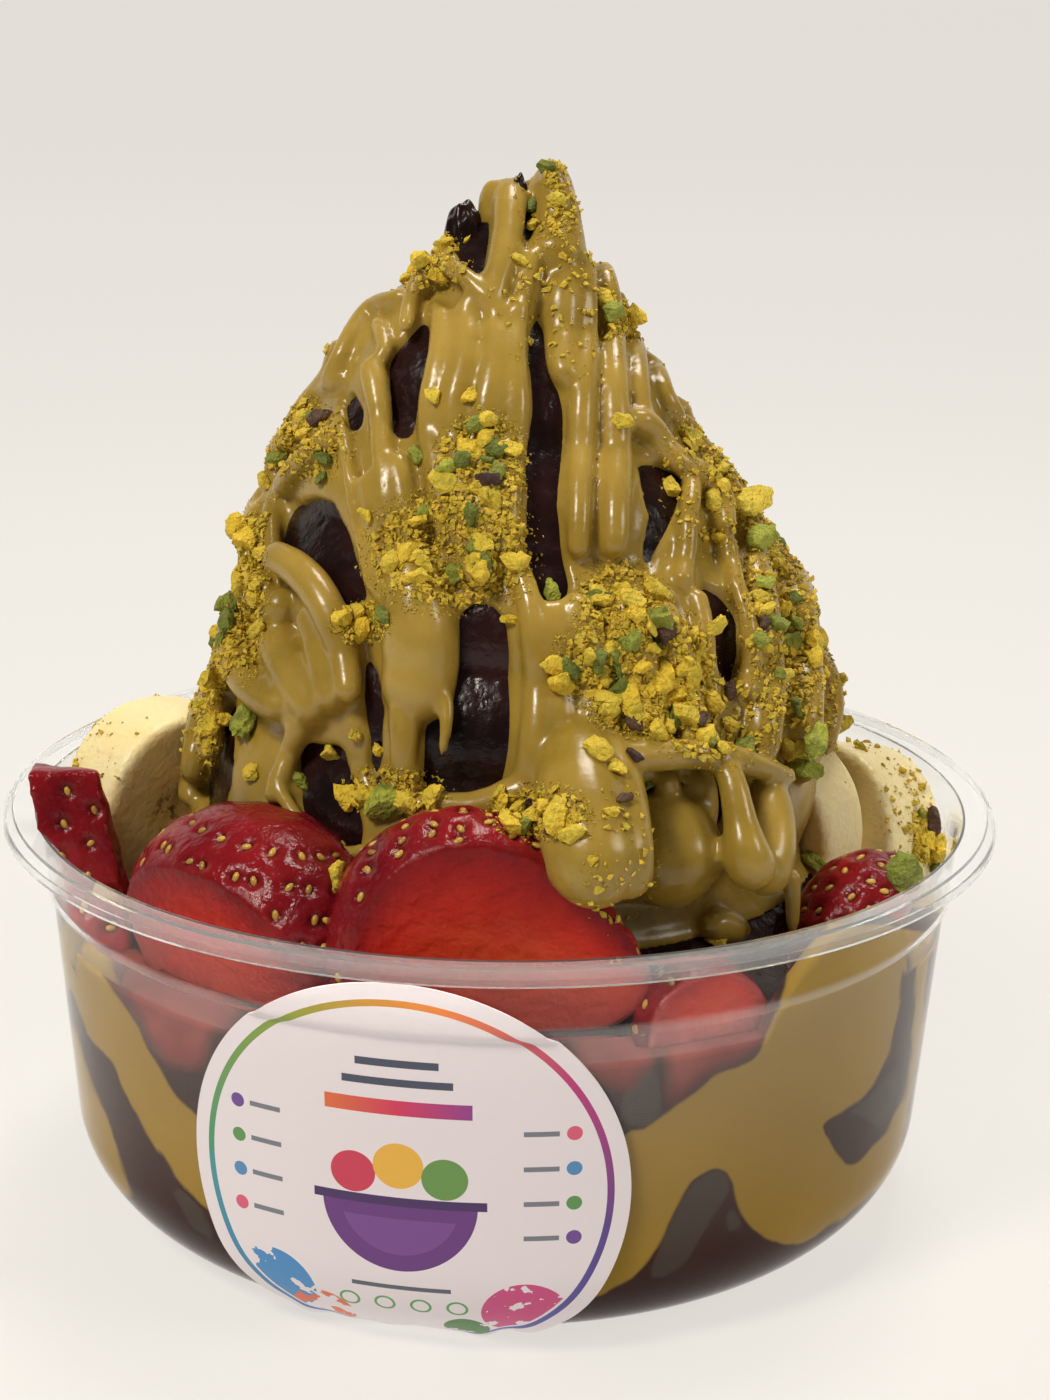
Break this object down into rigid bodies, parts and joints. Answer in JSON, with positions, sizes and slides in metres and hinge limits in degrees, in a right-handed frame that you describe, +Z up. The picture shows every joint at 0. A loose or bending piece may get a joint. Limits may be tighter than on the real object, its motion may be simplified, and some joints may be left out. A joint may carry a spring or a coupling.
{
  "type": "acai bowl",
  "caption": "Clear take-away bowl of acai soft serve in a tall swirl, with pistachio sauce and chopped nuts poured over it, and strawberry and banana round the rim.",
  "frame": {"origin": "under the middle of the bowl's base, on the surface that it stands on", "axes": "+Z up along the swirl, +X to the right, -Y the front with the label"},
  "size_m": [0.15, 0.15, 0.1563],
  "materials": {
    "clear_plastic": "clear thin plastic",
    "label_paper": "satin paper",
    "acai": "wet, glossy",
    "pistachio_sauce": "smooth, glossy",
    "nut_yellow": "dry, rough",
    "nut_green": "dry, rough",
    "nut_skin": "dry, rough",
    "strawberry": "wet, glossy",
    "strawberry_seed": "satin",
    "banana": "moist, satin"
  },
  "bodies": {
    "root": {"bowl": "clear_plastic", "label": "label_paper", "acai_swirl": "pistachio_sauce", "strawberry_front": "strawberry", "strawberry_front_left": "strawberry", "strawberry_left": "strawberry", "strawberry_right_inside": "strawberry", "strawberry_right": "strawberry", "banana_left": "banana", "banana_left_behind": "banana", "banana_back_1": "banana", "banana_back_2": "banana", "banana_back_3": "banana", "banana_back_4": "banana", "banana_right": "banana", "banana_right_inside": "banana"}
  },
  "joints": []
}
